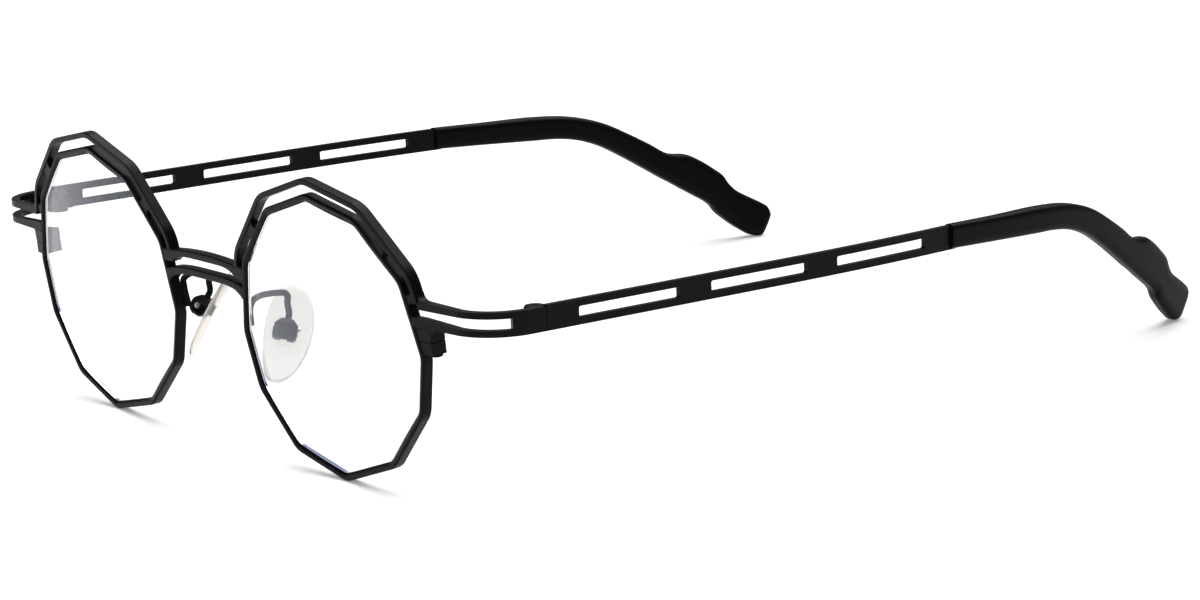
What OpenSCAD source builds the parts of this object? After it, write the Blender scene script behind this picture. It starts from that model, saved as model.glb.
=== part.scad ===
// Geometric eyeglasses: two twelve-sided wire rims, a second brow bar over each,
// a double bridge, double endpieces, flat slotted temples on barrel hinges,
// moulded temple tips and clear screw-on nose pads.
// Left means the wearer's left, which is +X. The front faces -Y, the temples run to +Y.
// The frame stands as on a table, on the bottoms of its rims and the ends of its tips.

/* [Lens opening] */
// Width of the opening that a lens fills
lens_w = 45; // [40:0.5:50]
// Height of the opening
lens_h = 42; // [37:0.5:47]
// Turn of the twelve-sided outline, temple side up, degrees
lens_turn = 2.7; // [0:0.1:5]
// Clear distance between the two openings across the nose
nose_gap = 22; // [18:0.5:26]
// Radius of the soft corners of the outline
corner_r = 2; // [0.5:0.1:4]
// Angle by which each lens turns back towards its temple, degrees
wrap_angle = 2.4; // [0:0.1:6]
// Radius of the upright cylinder that each rim is bent to
face_form_r = 290; // [180:5:600]

/* [Rims and brow bars] */
// Width of the eyewire seen from the front
wire_w = 1.18; // [0.9:0.01:1.4]
// Depth of the eyewire and brow bar, front to back
wire_d = 1.75; // [1.5:0.05:2.4]
// Depth of the lens groove
groove_depth = 0.42; // [0.25:0.01:0.5]
// Width of the lens groove at its mouth
groove_w = 0.66; // [0.5:0.02:0.9]
// Saw cut where a rim closes
rim_cut = 0.1; // [0.1:0.05:0.5]
// Slot between eyewire and brow bar
brow_gap = 1.4; // [1:0.05:2]
// Width of the brow bar
brow_w = 0.95; // [0.8:0.05:1.4]
// Length along the wire of each small web in the brow slot
web_len = 1.3; // [0.8:0.1:2.5]

/* [Lenses] */
// Thickness of a lens
lens_t = 1.2; // [1:0.1:1.6]
// Rise of the lens middle in front of its edge
lens_rise = 1.1; // [0:0.1:2]

/* [Bridge] */
// Height of the middle of the upper bridge bar over the lens centres
bridge_top_z = 8.05; // [7.5:0.05:9.5]
// Height of the middle of the lower bridge bar over the lens centres
bridge_low_z = 5.2; // [4.5:0.05:5.6]
// Height of each bridge bar's section
bridge_bar_h = 1.2; // [0.9:0.05:1.5]

/* [Endpieces] */
// Height of the whole endpiece
endpiece_h = 3.6; // [3.2:0.1:4.2]
// Height of each bar of the endpiece
endpiece_bar_h = 0.95; // [0.7:0.05:1.2]
// Distance of the endpiece's middle below the temple line
endpiece_low = 0.1; // [0:0.05:0.2]
// Thickness of the endpiece
endpiece_t = 1.35; // [1:0.05:1.6]
// Outer radius of the endpiece corner, seen from above
endpiece_r = 8; // [5:0.1:8.4]
// Distance from the front of the lenses back to the endpiece's front face, at the brow bar
endpiece_set = 1.25; // [1:0.05:1.6]
// Angle by which the endpiece's front sweeps back, degrees
endpiece_sweep = 5; // [0:0.5:8]
// Radius of the solder fillets where an endpiece meets the rim
endpiece_fillet = 1.2; // [0.6:0.1:1.6]
// Length of the solid block before the hinge
endpiece_block = 5.5; // [5:0.1:7.5]

/* [Temples] */
// Distance from the middle to the outer face of a temple
temple_x = 72.9; // [70:0.1:78]
// Height of the temple line over the lens centres, at the front
temple_z = 6.8; // [6:0.1:7.6]
// Downward slope of the temples against the lenses, degrees
temple_drop = 4.2; // [2:0.1:7]
// Thickness of the temple strip
strip_t = 1; // [0.8:0.1:1.4]
// Height of the temple strip
strip_h = 3.8; // [3.4:0.1:4.4]
// Length of the temple strip that shows, hinge line to tip
strip_len = 77.3; // [72:0.1:90]
// Number of slots along a temple
slot_count = 3; // [1:1:4]
// Length of each temple slot
slot_len = 18.2; // [10:0.1:19]
// Height of each temple slot
slot_h = 1.62; // [1:0.02:2]
// Spacing of the temple slots
slot_pitch = 23.95; // [20.5:0.05:24.5]
// Distance from the hinge line to the first slot
slot_start = 5.7; // [5:0.1:8]
// Distance behind the hinge line at which the temple starts to bend inwards
bend_start = 44.3; // [30:0.1:70]
// Radius of the inward bend of the temple
bend_r = 278; // [200:2:500]

/* [Temple tips] */
// Thickness of the moulded tip where it starts
tip_t_front = 2.2; // [1.8:0.1:3]
// Thickness of the moulded tip at its end
tip_t_end = 3.3; // [2.6:0.1:4]
// Length of the metal core inside the tip
core_len = 44; // [20:1:48]
// Thickness of the metal core
core_t = 0.9; // [0.6:0.1:1.2]
// Height of the metal core
core_h = 1.6; // [1.2:0.1:2.2]

/* [Hinges] */
// Distance from the front of the lenses back to the hinge line
hinge_y = 12.65; // [12:0.05:15]
// Diameter of the hinge barrel
barrel_d = 3.1; // [2.8:0.1:3.4]
// Height of the hinge barrel
barrel_h = 3.1; // [3:0.1:4]
// Distance of the hinge's middle below the temple line
hinge_low = 0.3; // [0.1:0.05:0.4]
// Height of the middle knuckle
knuckle_h = 1.3; // [1.1:0.1:1.6]
// Diameter of the hinge screw
hinge_screw_d = 1.3; // [1:0.1:1.5]
// Thickness of a hinge leaf
leaf_t = 0.8; // [0.6:0.05:1]
// Length of a hinge leaf
leaf_len = 3.2; // [2.6:0.1:4.2]

/* [Rim locks] */
// Height of the closing block, both halves together
lock_h = 4; // [3.6:0.1:4.6]
// Width of the closing block beside the eyewire
lock_side = 1.9; // [1.5:0.05:2.1]
// Length of the closing block behind the eyewire
lock_back = 1.2; // [1:0.05:1.6]
// Diameter of the closing screw
lock_screw_d = 1; // [0.8:0.1:1.2]

/* [Nose pads] */
// Length of a nose pad
pad_len = 15.5; // [12:0.5:16.5]
// Width of a nose pad
pad_w = 8; // [7:0.2:9]
// Thickness of a nose pad
pad_t = 1.7; // [1.5:0.1:2.1]
// Swing of the pad away from straight back, seen from above, degrees
pad_splay = 53; // [48:0.5:58]
// Lean of the pad, degrees
pad_lean = 58.6; // [54:0.2:63]
// Sideways roll of the pad, degrees
pad_roll = 17.5; // [12:0.5:22]
// Distance from the pad's middle to the screw that holds it
pad_stand = 2.8; // [2.7:0.1:3.4]
// Distance of the pad screw out from the nose edge of the lens opening
pad_screw_out = 1.9; // [1.4:0.1:2.6]
// Distance of the pad screw back from the front of the lenses
pad_screw_back = 5.45; // [5:0.05:6.5]
// Distance of the pad screw below the lens centres
pad_screw_down = 2.9; // [2.2:0.1:3.6]
// Diameter of the pad screw
pad_screw_d = 1; // [0.8:0.1:1.2]
// Diameter of the pad arm wire
arm_d = 1; // [0.8:0.1:1.2]

/* [Fits] */
// Gap left at a soldered joint
solder_gap = 0.04; // [0.02:0.01:0.1]
// Radial clearance of a screw in a part that turns on it
turn_fit = 0.05; // [0.02:0.01:0.1]
// Radial clearance of a screw in a part that it holds still
hold_fit = 0.02; // [0.01:0.01:0.05]
// Gap between parts that fold past each other
fold_gap = 0.1; // [0.05:0.01:0.2]

/* [Hidden] */
$fn = 48;

black = [0.11, 0.11, 0.12];
tip_black = [0.14, 0.14, 0.15];
steel = [0.75, 0.75, 0.77];
clear_lens = [0.8, 0.86, 0.9, 0.35];
clear_pad = [0.92, 0.92, 0.9, 0.6];

// Outline of the lens opening: one half as shares of half the width and half the height
half_outline = [
    [0, 1], [0.502, 0.86], [0.88, 0.466], [1, -0.049], [0.902, -0.447], [0.538, -0.838], [0, -0.993]];
left_half = [for (i = [5:-1:1]) [-half_outline[i][0], half_outline[i][1]]];
function turned(p, a) = [p[0] * cos(a) - p[1] * sin(a), p[0] * sin(a) + p[1] * cos(a)];
corners = [
    for (p = concat(half_outline, left_half)) turned([p[0] * lens_w / 2, p[1] * lens_h / 2], lens_turn)];
sides = len(corners);
function corner(i) = corners[(i + sides) % sides];
function unit(v) = v / norm(v);
// Outward direction of the side that starts at corner i
function side_out(i) = let (d = unit(corner(i + 1) - corner(i))) [-d[1], d[0]];
// A point with its outward direction, on side i at height z
function on_side(i, z) =
    let (a = corner(i), b = corner(i + 1), t = (z - a[1]) / (b[1] - a[1])) [a + (b - a) * t, side_out(i)];
// Three points round corner i, each with its outward direction
function round_corner(i) =
    let (
        n1 = side_out(i - 1), n2 = side_out(i), turn = acos(n1 * n2), reach = corner_r * tan(turn / 2),
        a = corner(i) - unit(corner(i) - corner(i - 1)) * reach,
        b = corner(i) + unit(corner(i + 1) - corner(i)) * reach)
    [[a, n1], [(a + 2 * corner(i) + b) / 4, unit(n1 + n2)], [b, n2]];
function round_corners(first, last) = [for (i = [first:last]) each round_corner(i)];

// Place of a lens point: u towards the temple, z up, depth back from the rim's face
lens_x = (nose_gap + lens_w) / 2;
rim_set = lens_h * lens_h / 8 / face_form_r * 0.5;
function placed(u, z, depth) =
    let (d = depth + u * u / (2 * face_form_r) - rim_set)
    [lens_x + u * cos(wrap_angle) - d * sin(wrap_angle), u * sin(wrap_angle) + d * cos(wrap_angle), z];
// One section of a wire: station [point, outward], section points [offset outward, depth]
function wire_ring(station, section) =
    [for (s = section) let (p = station[0] + station[1] * s[0]) placed(p[0], p[1], s[1])];

// Sides that the other parts meet: 9 rises along the nose, 2 falls along the temple
nose_side = 9;
temple_side = 2;
function nose_reach(z, out) =
    let (s = on_side(nose_side, z)) lens_x + (s[0][0] + out / s[1][0]) * cos(wrap_angle);
function temple_u(z, out) = let (s = on_side(temple_side, z)) s[0][0] + out / s[1][0];
function temple_reach(z, out) = lens_x + temple_u(z, out) * cos(wrap_angle);

// Eyewire section
face_rise = wire_d / 4;
wire_front = -face_rise;
wire_back = wire_d - face_rise;
wire_chamfer = 0.15;
groove_mid = wire_back / 2;
rim_section = [
    [0, groove_mid - groove_w / 2], [0, 0], [wire_w * 0.3, wire_front * 0.75],
    [wire_w * 0.75, wire_front], [wire_w, wire_front * 0.5], [wire_w, wire_back - wire_chamfer],
    [wire_w - wire_chamfer, wire_back], [wire_chamfer, wire_back], [0, wire_back - wire_chamfer],
    [0, groove_mid + groove_w / 2], [groove_depth, groove_mid]];
groove_point = len(rim_section) - 1;

// The rim is cut at the height where its closing blocks part
lock_out = wire_w + lock_side;
lock_top = temple_z - endpiece_low - endpiece_h / 2
    - (wire_back + lock_back) * tan(temple_drop) - 2 * solder_gap;
lock_low = lock_top - lock_h;
lock_mid = lock_top - lock_h / 2;
rim_stations = concat(
    [on_side(temple_side, lock_mid - rim_cut / 2)],
    round_corners(temple_side + 1, temple_side + sides),
    [on_side(temple_side, lock_mid + rim_cut / 2)]);
rim_rings = [for (s = rim_stations) wire_ring(s, rim_section)];

// Brow bar section, outside the slot
brow_in = wire_w + brow_gap;
brow_out = brow_in + brow_w;
brow_section = [
    [brow_in, wire_front + wire_chamfer], [brow_in + wire_chamfer, wire_front],
    [brow_out - 2 * wire_chamfer, wire_front], [brow_out, wire_front + 2 * wire_chamfer],
    [brow_out, wire_back - wire_chamfer], [brow_out - wire_chamfer, wire_back],
    [brow_in + wire_chamfer, wire_back], [brow_in, wire_back - wire_chamfer]];
bar_end_fall = 1.3;
bridge_top_under = bridge_top_z - bridge_bar_h / 2;
bridge_end_under = bridge_top_under - bar_end_fall;
endpiece_under_bar = temple_z - endpiece_low + endpiece_h / 2 - endpiece_bar_h - 0.1;
brow_stations = concat(
    [on_side(nose_side, bridge_end_under)],
    round_corners(nose_side + 1, sides + temple_side),
    [on_side(temple_side, endpiece_under_bar)]);
brow_rings = [for (s = brow_stations) wire_ring(s, brow_section)];

// Temple: side view in its own slope, y back and z up, x bent inwards past bend_start
bend_lean = 25.8;
bend_from = (hinge_y + bend_start) * cos(bend_lean);
function bend_in(y, z) =
    let (q = y * cos(bend_lean) - z * sin(bend_lean)) pow(max(0, q - bend_from), 2) / (2 * bend_r);
strip_mid_x = temple_x - strip_t / 2;
tip_y = hinge_y + strip_len;
// Upper and lower edge of the moulded tip, measured from where the tip starts
tip_upper = [
    [0, 2.05], [10, 1.8], [22.4, 1.5], [26.5, 1.1], [30.5, 0.25], [34.4, -1.15], [38, -3.05], [42.5, -5.7],
    [46.2, -7.95], [47.6, -8.2], [49.4, -8.4], [51.4, -9.4], [54.6, -11.7], [56, -12.9], [57, -14.6],
    [58, -15.8], [60.5, -17.45], [62.6, -18.7], [63.8, -19.6], [64.3, -20.8]];
tip_lower = [
    [0, -1.8], [10, -2.2], [20, -2.64], [24, -2.8], [27, -3.2], [30.1, -4], [33.1, -5.2], [36.9, -7.4],
    [42, -10.75], [44.6, -12.5], [46.2, -13.5], [48.2, -14.85], [50.6, -16.4], [52.4, -17.6], [53.3, -18.4],
    [54.2, -19.8], [55.6, -21.2], [58, -23.4], [60.3, -25], [61.9, -24.5]];
tip_last = len(tip_upper) - 1;
tip_shape = [
    [1, -0.55], [1, 0.55], [0.84, 0.86], [0.45, 1], [-0.45, 1], [-0.84, 0.86],
    [-1, 0.55], [-1, -0.55], [-0.84, -0.86], [-0.45, -1], [0.45, -1], [0.84, -0.86]];
function tip_half_t(i) =
    let (share = min(1, tip_upper[i][0] / 24), full = (tip_t_front + (tip_t_end - tip_t_front) * share) / 2)
    i == tip_last ? full * 0.75 : full;
function tip_point(i, across, up) =
    let (
        mid = (tip_upper[i] + tip_lower[i]) / 2, half = (tip_upper[i] - tip_lower[i]) / 2,
        p = mid + half * up, y = tip_y + p[0])
    [strip_mid_x - bend_in(y, p[1]) + across * tip_half_t(i), y, p[1]];
tip_rings = [for (i = [0:tip_last]) [for (s = tip_shape) tip_point(i, s[0], s[1])]];

// Slope of the temples, then the tilt of the whole frame as it stands
function sloped(p) = [
    p[0], p[1] * cos(temple_drop) + p[2] * sin(temple_drop),
    temple_z - p[1] * sin(temple_drop) + p[2] * cos(temple_drop)];
rim_points = [for (r = rim_rings) each r];
brow_points = [for (r = brow_rings) each r];
tip_points = [for (r = tip_rings) each [for (p = r) sloped(p)]];
function back_at(p, tilt) = p[1] * cos(tilt) - p[2] * sin(tilt);
function height_at(p, tilt) = p[1] * sin(tilt) + p[2] * cos(tilt);
function lowest(points, tilt) = min([for (p = points) height_at(p, tilt)]);
stand_length = max([for (p = tip_points) p[1]]);
function better_tilt(tilt) =
    tilt + atan((lowest(rim_points, tilt) - lowest(tip_points, tilt)) / stand_length);
stand_tilt = better_tilt(better_tilt(better_tilt(better_tilt(0))));
stand_z = -min(lowest(rim_points, stand_tilt), lowest(tip_points, stand_tilt));
front_end = min([for (p = brow_points) back_at(p, stand_tilt)]);
back_end = max([for (p = tip_points) back_at(p, stand_tilt)]);
stand_y = -(front_end + back_end) / 2;

// Hinge
hinge_x = temple_x - max(endpiece_t, strip_t) - barrel_d / 2 - fold_gap;
endpiece_inner_x = temple_x - endpiece_t;
strip_inner_x = temple_x - strip_t;
barrel_r = barrel_d / 2;
leaf_clear_r = barrel_r + fold_gap;
leaf_h = endpiece_h - 2 * (hinge_low - endpiece_low) - 0.1;
hinge_bore_d = hinge_screw_d + 2 * hold_fit;
hinge_turn_d = hinge_screw_d + 2 * turn_fit;
hinge_head_d = barrel_d - 0.2;
hinge_head_h = 0.25;

// Nose pad screw place and its box: along the screw, along the pad, away from the pad
pad_screw_at = [nose_gap / 2 + pad_screw_out, pad_screw_back, -pad_screw_down];
pad_box = [3.6, 3.2, 2.6];
pad_box_wall = 0.35;
pad_box_neck = 0.9;
pad_slot_w = 1;
pad_tab_w = pad_slot_w - 2 * fold_gap;
pad_tab_h = 1.7;
pad_head_d = pad_screw_d + 0.8;
pad_head_h = 0.4;
pad_pocket = 0.9;
pad_boss_h = 0.3;
pad_egg = 0.08;
pad_points = 28;
// A place by the pad screw: along the screw, along the pad, away from the pad
function pad_at(p) =
    let (
        a = turned([p[1], p[2]], pad_lean), b = turned([a[1], p[0]], pad_roll),
        c = turned([b[1], a[0]], pad_splay))
    pad_screw_at + [c[0], c[1], b[0]];

// Faces of a loft through rings of equal length, clockwise about its direction;
// hub is the point that the end caps fan from
function loft_sides(rings, count) = [
    for (i = [0:rings - 2], j = [0:count - 1])
    let (a = i * count + j, b = i * count + (j + 1) % count)
        each [[a, b, b + count], [a, b + count, a + count]]];
function loft_cap(first, count, hub, flip) = [
    for (k = [1:count - 2])
    let (a = first + (hub + k) % count, b = first + (hub + k + 1) % count)
    flip ? [first + hub, b, a] : [first + hub, a, b]];
module loft(rings, hub = 0) {
    count = len(rings[0]);
    polyhedron(
        points = [for (r = rings) each r],
        faces = concat(
            loft_sides(len(rings), count),
            loft_cap(0, count, hub, true),
            loft_cap((len(rings) - 1) * count, count, hub, false)));
}

// The frame as it stands, and the slope of the temples within it
module left_side() translate([0, stand_y, stand_z]) rotate([stand_tilt, 0, 0]) children();
module right_side() left_side() mirror([1, 0, 0]) children();
module temple_slope() translate([0, 0, temple_z]) rotate([-temple_drop, 0, 0]) children();
module hinge_place() temple_slope() translate([0, 0, -hinge_low]) children();

module rim() color(black) loft(rim_rings, groove_point);

// A small flat piece between the eyewire and the brow bar, from four points [station, offset]
module patch(quad) {
    front = wire_front + wire_chamfer;
    back = wire_back - wire_chamfer;
    loft([
        for (depth = [back, front])
        [for (q = quad) let (p = q[0][0] + q[0][1] * q[1]) placed(p[0], p[1], depth)]]);
}

module brow_bar() color(black) {
    inner = wire_w + solder_gap;
    outer = brow_in + wire_chamfer;
    fill = 1.2;
    loft(brow_rings);
    nose_low = bridge_end_under + 0.1;
    patch([
        [on_side(nose_side, nose_low - 0.4), inner], [on_side(nose_side, nose_low), outer],
        [on_side(nose_side, nose_low + fill), outer], [on_side(nose_side, nose_low + fill), inner]]);
    temple_low = endpiece_under_bar + 0.1;
    patch([
        [on_side(temple_side, temple_low + fill), inner], [on_side(temple_side, temple_low + fill), outer],
        [on_side(temple_side, temple_low), outer], [on_side(temple_side, temple_low), inner]]);
    for (i = [nose_side + 1, temple_side - 1]) {
        mid = (corner(i)[1] + corner(i + 1)[1]) / 2;
        rise = sign(corner(i + 1)[1] - corner(i)[1]);
        low = mid - rise * web_len / 2;
        high = mid + rise * web_len / 2;
        patch([[on_side(i, low), inner], [on_side(i, low + 0.3), outer],
            [on_side(i, high + 0.3), outer], [on_side(i, high), inner]]);
    }
}

// A bridge bar: mid heights, and how far its under and upper edges fall at the ends
module bridge_bar(mid_z, under_fall, over_fall, sharp, out) {
    steps = 12;
    under = mid_z - bridge_bar_h / 2;
    over = mid_z + bridge_bar_h / 2;
    under_x = nose_reach(under - under_fall, out + solder_gap);
    over_x = nose_reach(over - over_fall, out + solder_gap);
    nose_y = placed(-lens_w / 2, 0, 0)[1];
    translate([0, nose_y + wire_back, 0]) rotate([90, 0, 0]) linear_extrude(wire_d)
        polygon(concat(
            [for (k = [-steps:steps])
                let (s = k / steps) [under_x * s, under - under_fall * pow(abs(s), 6)]],
            [for (k = [steps:-1:-steps])
                let (s = k / steps) [over_x * s, over - over_fall * pow(abs(s), sharp)]]));
}

module bridge_upper() color(black) left_side() bridge_bar(bridge_top_z, bar_end_fall, 0.5, 2, brow_out);

module bridge_lower() color(black) left_side() bridge_bar(bridge_low_z, 1.9, 0.9, 4, wire_w);

// Endpiece: its front runs out and back, then round the corner and straight to the hinge
endpiece_root_x = temple_reach(temple_z, brow_out);
endpiece_turn_x = temple_x - endpiece_r;
endpiece_turn_y = endpiece_set
    + (endpiece_r + (endpiece_turn_x - endpiece_root_x) * sin(endpiece_sweep)) / cos(endpiece_sweep);
endpiece_end_y = hinge_y - fold_gap / 2;
// Gap at the endpiece's root, wider as the front sweeps back, and its height over the temple line
root_gap = solder_gap + endpiece_t * max(0, sin(endpiece_sweep - wrap_angle));
root_lift = 0.15;
// Where the lower bar comes out from over the closing block
lock_along = (temple_reach(lock_low, lock_out) + root_gap - endpiece_root_x) / cos(endpiece_sweep);
// Distance along the endpiece's front, at height z, of the line that lies out from the lens opening
function front_at(z, out) =
    (temple_reach(temple_z + z - root_lift, out + root_gap) - endpiece_root_x) / cos(endpiece_sweep);
// The lower fillet starts behind the front of the closing block
fillet_inset = 0.45;
// Hollow fillet from a bar's edge at a corner to the point end along the front; way is 1 for up, -1 for down
function fillet(corner, end, way) =
    let (a = corner + [endpiece_fillet, 0], b = [end, corner[1] + way * endpiece_fillet])
    [for (k = [0:6]) let (t = k / 6) a * (1 - t) * (1 - t) + corner * 2 * t * (1 - t) + b * t * t];

// Line of the endpiece seen from above, inset from its outer face, and the plate between two of them
endpiece_steps = 12;
endpiece_over = 4;
function endpiece_line(inset) =
    let (w = endpiece_sweep, r = endpiece_r - inset)
    concat(
        [[endpiece_root_x - endpiece_over * cos(w) - inset * sin(w),
            endpiece_set - endpiece_over * sin(w) + inset * cos(w)]],
        [for (k = [0:endpiece_steps])
            let (a = (90 - w) * (k / endpiece_steps - 1))
            [endpiece_turn_x + r * cos(a), endpiece_turn_y + r * sin(a)]],
        [[temple_x - inset, endpiece_end_y]]);
module endpiece_plate(low, high, inset = 0) {
    inner = endpiece_line(endpiece_t);
    translate([0, 0, low]) linear_extrude(high - low)
        polygon(concat(endpiece_line(inset), [for (i = [len(inner) - 1:-1:0]) inner[i]]));
}

// What an outline [along the endpiece's front, height] cuts through, square to that front
endpiece_far = 2 * hinge_y;
module endpiece_cut() translate([endpiece_root_x, endpiece_set, 0]) rotate([0, 0, endpiece_sweep])
    translate([0, endpiece_far, 0]) rotate([90, 0, 0]) linear_extrude(2 * endpiece_far) children();

// Double bars from the rim, round the corner, into one block at the hinge
module endpiece() color(black) temple_slope() {
    bar_z = (endpiece_h - endpiece_bar_h) / 2;
    foot = 0.05;
    for (way = [-1, 1]) {
        low = way * bar_z - endpiece_bar_h / 2 - endpiece_low;
        high = low + endpiece_bar_h;
        out = way > 0 ? brow_out : wire_w;
        corner = way > 0 ? [front_at(high, out), high] : [lock_along, low];
        end = way > 0 ? front_at(high + endpiece_fillet, out) : lock_along;
        intersection() {
            endpiece_plate(low, high);
            endpiece_cut() polygon([
                [front_at(low - 1, out), low - 1], [endpiece_far, low - 1], [endpiece_far, high + 1],
                [front_at(high + 1, out), high + 1]]);
        }
        intersection() {
            endpiece_plate(low - 2 * endpiece_fillet, high + 2 * endpiece_fillet, way > 0 ? 0 : fillet_inset);
            endpiece_cut() polygon(concat([corner - [0, way * foot]], fillet(corner, end, way)));
        }
    }
    intersection() {
        endpiece_plate(-endpiece_low - endpiece_h / 2, -endpiece_low + endpiece_h / 2);
        translate([endpiece_turn_x, endpiece_end_y - endpiece_block, -endpiece_h])
            cube([2 * endpiece_r, 2 * endpiece_block, 2 * endpiece_h]);
    }
}

// Lens: from the middle of its front, over the edge ridge, to the middle of its back
lens_gap = 0.08;
lens_front = groove_mid - lens_t / 2;
lens_line = round_corners(0, sides - 1);
function lens_ring(share, out, depth) = [
    for (s = lens_line)
    let (p = s[0] * share + s[1] * out)
    placed(p[0], p[1], depth - lens_rise * (1 - share * share))];
lens_rings = concat(
    [for (share = [0.2, 0.45, 0.7, 0.9]) lens_ring(share, 0, lens_front + lens_t)],
    [lens_ring(1, -lens_gap, lens_front + lens_t), lens_ring(1, -lens_gap, groove_mid + groove_w / 4),
        lens_ring(1, groove_depth - 0.1, groove_mid), lens_ring(1, -lens_gap, groove_mid - groove_w / 4),
        lens_ring(1, -lens_gap, lens_front)],
    [for (share = [0.9, 0.7, 0.45, 0.2]) lens_ring(share, 0, lens_front)]);

module lens() color(clear_lens) loft(lens_rings);

// Closing block at the temple side of a rim: beside and behind the eyewire, in two halves
// with a screw up through them. Its face on the rim leans with the rim, the others are upright.
lock_in = 0.25;
lock_front = wire_front + 0.4;
lock_room = wire_back + solder_gap;
lock_head_d = lock_screw_d + 0.8;
lock_head_h = 0.4;
screw_slot = 0.25;
module lock_half(low, high) difference() {
    loft([
        for (z = [low, high])
        let (
            rim_u = temple_u(z, wire_w + solder_gap), in_u = temple_u(lock_low, lock_in),
            out_u = temple_u(lock_low, lock_out))
        [
            placed(rim_u, z, lock_room), placed(in_u, z, lock_room), placed(in_u, z, lock_room + lock_back),
            placed(out_u, z, lock_room + lock_back), placed(out_u, z, lock_front),
            placed(rim_u, z, lock_front)]]);
    along_lock() translate([0, 0, -1]) cylinder(d = lock_screw_d + 2 * hold_fit, h = lock_h + 2);
}
module along_lock()
    translate(placed(temple_u(lock_low, wire_w + lock_side / 2), lock_low, lock_room)) children();

module rim_lock_upper() color(black) lock_half(lock_mid + rim_cut / 2, lock_top);

module rim_lock_lower() color(black) lock_half(lock_low, lock_mid - rim_cut / 2);

module rim_lock_screw() color(black) along_lock() {
    translate([0, 0, -2 * solder_gap]) cylinder(d = lock_screw_d, h = lock_h - 0.3);
    translate([0, 0, -lock_head_h - solder_gap]) difference() {
        cylinder(d = lock_head_d, h = lock_head_h);
        translate([-lock_head_d, -screw_slot / 2, -1])
            cube([2 * lock_head_d, screw_slot, 1 + lock_head_h / 2]);
    }
}

// Wire bent in space: rings of eight points along a list of places
function wire_rings(path, r) = [
    for (i = [0:len(path) - 1])
    let (
        before = path[max(0, i - 1)], after = path[min(len(path) - 1, i + 1)],
        along = unit(after - before), side = unit(cross(along, [1, 0, 0])), over = cross(side, along))
    [for (k = [0:7]) path[i] + (side * cos(k * 45) + over * sin(k * 45)) * r]];

module pad_place() translate(pad_screw_at) rotate([pad_lean, pad_roll, pad_splay]) children();

// Pad arm: soldered behind the rim, over and back in a loop, then down into its box
arm_foot = [-1.6, 1.6];
// The loop: shares of the way out and back from its foot to its end, and rise over its end
arm_loop = [[0.34, 0.05, 0.3], [0.59, 0.22, 0.75], [0.8, 0.49, 0.8], [0.93, 0.76, 0.6], [1, 0.93, 0.3]];
arm_loop_end = pad_screw_at + [-0.85, 1.6, 5.05];
arm_fall = [[0.03, -0.07, -0.25], [0.08, -0.27, -1.05]];
// Straight length of the wire before its box, and in it
arm_lead = 0.9;
arm_hold = 0.4;
module pad_arm() color(black) {
    foot_y = placed(-lens_w / 2, 0, wire_back)[1] + arm_d / 2 + 2 * solder_gap;
    foot_top = [nose_reach(arm_foot[1], wire_w), foot_y, arm_foot[1]];
    loft(wire_rings(concat(
        [[nose_reach(arm_foot[0], wire_w), foot_y, arm_foot[0]], foot_top],
        [for (p = arm_loop) [
            foot_top[0] + (arm_loop_end[0] - foot_top[0]) * p[0],
            foot_top[1] + (arm_loop_end[1] - foot_top[1]) * p[1], arm_loop_end[2] + p[2]]],
        [for (p = arm_fall) arm_loop_end + p],
        [for (y = [arm_lead, -arm_hold]) pad_at([0, pad_box[1] / 2 + y, 0])]), arm_d / 2));
    half = pad_box / 2;
    bevel = 0.4;
    shoulder = 0.4;
    pad_place() difference() {
        intersection() {
            translate([0, 0, -half[2]]) linear_extrude(pad_box[2]) polygon([
                [-half[0], shoulder], [-half[0], bevel - half[1]], [bevel - half[0], -half[1]],
                [half[0] - bevel, -half[1]], [half[0], bevel - half[1]], [half[0], shoulder],
                [pad_box_neck, half[1]], [-pad_box_neck, half[1]]]);
            rotate([90, 0, 90]) translate([0, 0, -half[0]]) linear_extrude(pad_box[0]) polygon([
                [-half[1], bevel - half[2]], [bevel - half[1], -half[2]], [half[1] - bevel, -half[2]],
                [half[1], -half[2] / 2], [half[1], half[2] / 2], [half[1] - 2 * bevel, half[2]],
                [2 * bevel - half[1], half[2]], [-half[1], half[2] - 2 * bevel]]);
        }
        rotate([90, 0, 90]) translate([0, 0, -pad_slot_w / 2]) linear_extrude(pad_slot_w) polygon([
            [-half[1] - 1, -half[2] - 1], [half[1] - pad_box_wall, -half[2] - 1],
            [half[1] - pad_box_wall, half[2] - pad_box_wall], [-pad_tab_h / 2, half[2] - pad_box_wall],
            [-half[1], 0], [-half[1] - 1, 0]]);
        rotate([0, 90, 0]) cylinder(d = pad_screw_d + 2 * hold_fit, h = pad_box[0] + 2, center = true);
    }
}

module pad_screw() color(steel) pad_place() rotate([0, 90, 0]) {
    cylinder(d = pad_screw_d, h = pad_box[0] + pad_head_h, center = true);
    translate([0, 0, pad_box[0] / 2 + solder_gap]) cylinder(d = pad_head_d, h = pad_head_h);
}

// Metal tab that the pad is moulded on, turning on the screw inside the box
module pad_tab() color(steel) pad_place() difference() {
    union() {
        rotate([0, 90, 0]) cylinder(d = pad_tab_h, h = pad_tab_w, center = true);
        reach = pad_stand - pad_t / 2 + pad_pocket;
        translate([-pad_tab_w / 2, -pad_tab_h / 2, -reach]) cube([pad_tab_w, pad_tab_h, reach]);
    }
    rotate([0, 90, 0]) cylinder(d = pad_screw_d + 2 * turn_fit, h = 3, center = true);
}

// Pad outline: fuller at its upper end
function pad_ring(share, z) = [
    for (k = [0:pad_points - 1])
    let (a = -360 * k / pad_points, full = 1 + pad_egg * sin(a))
    [cos(a) * pad_w / 2 * share * full, sin(a) * pad_len / 2 * (1 - (1 - share) * pad_w / pad_len), z]];

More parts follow.
